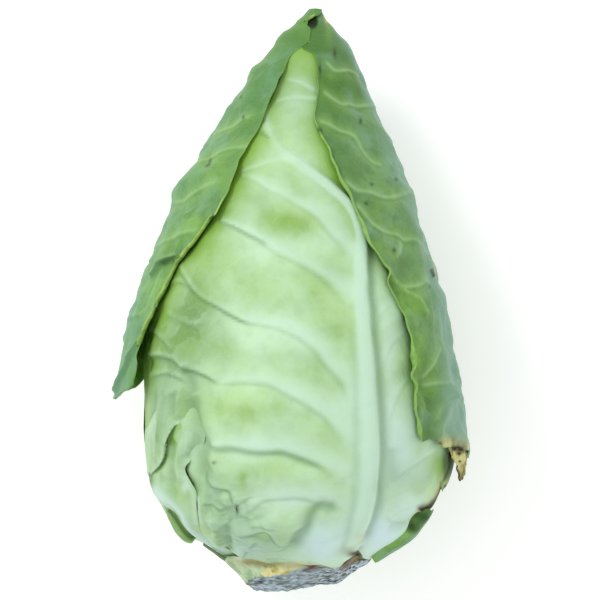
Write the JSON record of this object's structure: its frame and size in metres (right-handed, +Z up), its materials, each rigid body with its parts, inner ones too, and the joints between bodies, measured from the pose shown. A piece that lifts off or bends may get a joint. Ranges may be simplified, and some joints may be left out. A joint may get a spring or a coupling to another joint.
{
  "type": "pointed cabbage",
  "caption": "A pointed cabbage lying on its back: a pale front leaf between two green wrapper leaves that meet at the point, and a cut woody stump.",
  "frame": {"origin": "on the surface it lies on, under the middle of the cabbage's box", "axes": "+Y from the cut stump to the point, +X to the right seen from above with the point away, +Z up"},
  "size_m": [0.1416, 0.2422, 0.1256],
  "materials": {
    "outer_leaf": "satin green leaf with pale veins and a bluish waxy bloom",
    "pale_leaf": "satin pale green leaf blade, nearly white along the midrib and veins",
    "heart_leaf": "satin pale green, tightly wrapped",
    "stump": "matt, dry, fibrous cut stem with brown leaf scars"
  },
  "bodies": {
    "root": {"stump": "stump", "heart": "heart_leaf", "inner_left_leaf": "pale_leaf", "front_leaf": "pale_leaf", "left_wrapper_leaf": "outer_leaf", "right_wrapper_leaf": "outer_leaf", "back_leaf": "outer_leaf", "lower_left_leaf": "outer_leaf", "lower_right_leaf": "outer_leaf"}
  },
  "joints": []
}
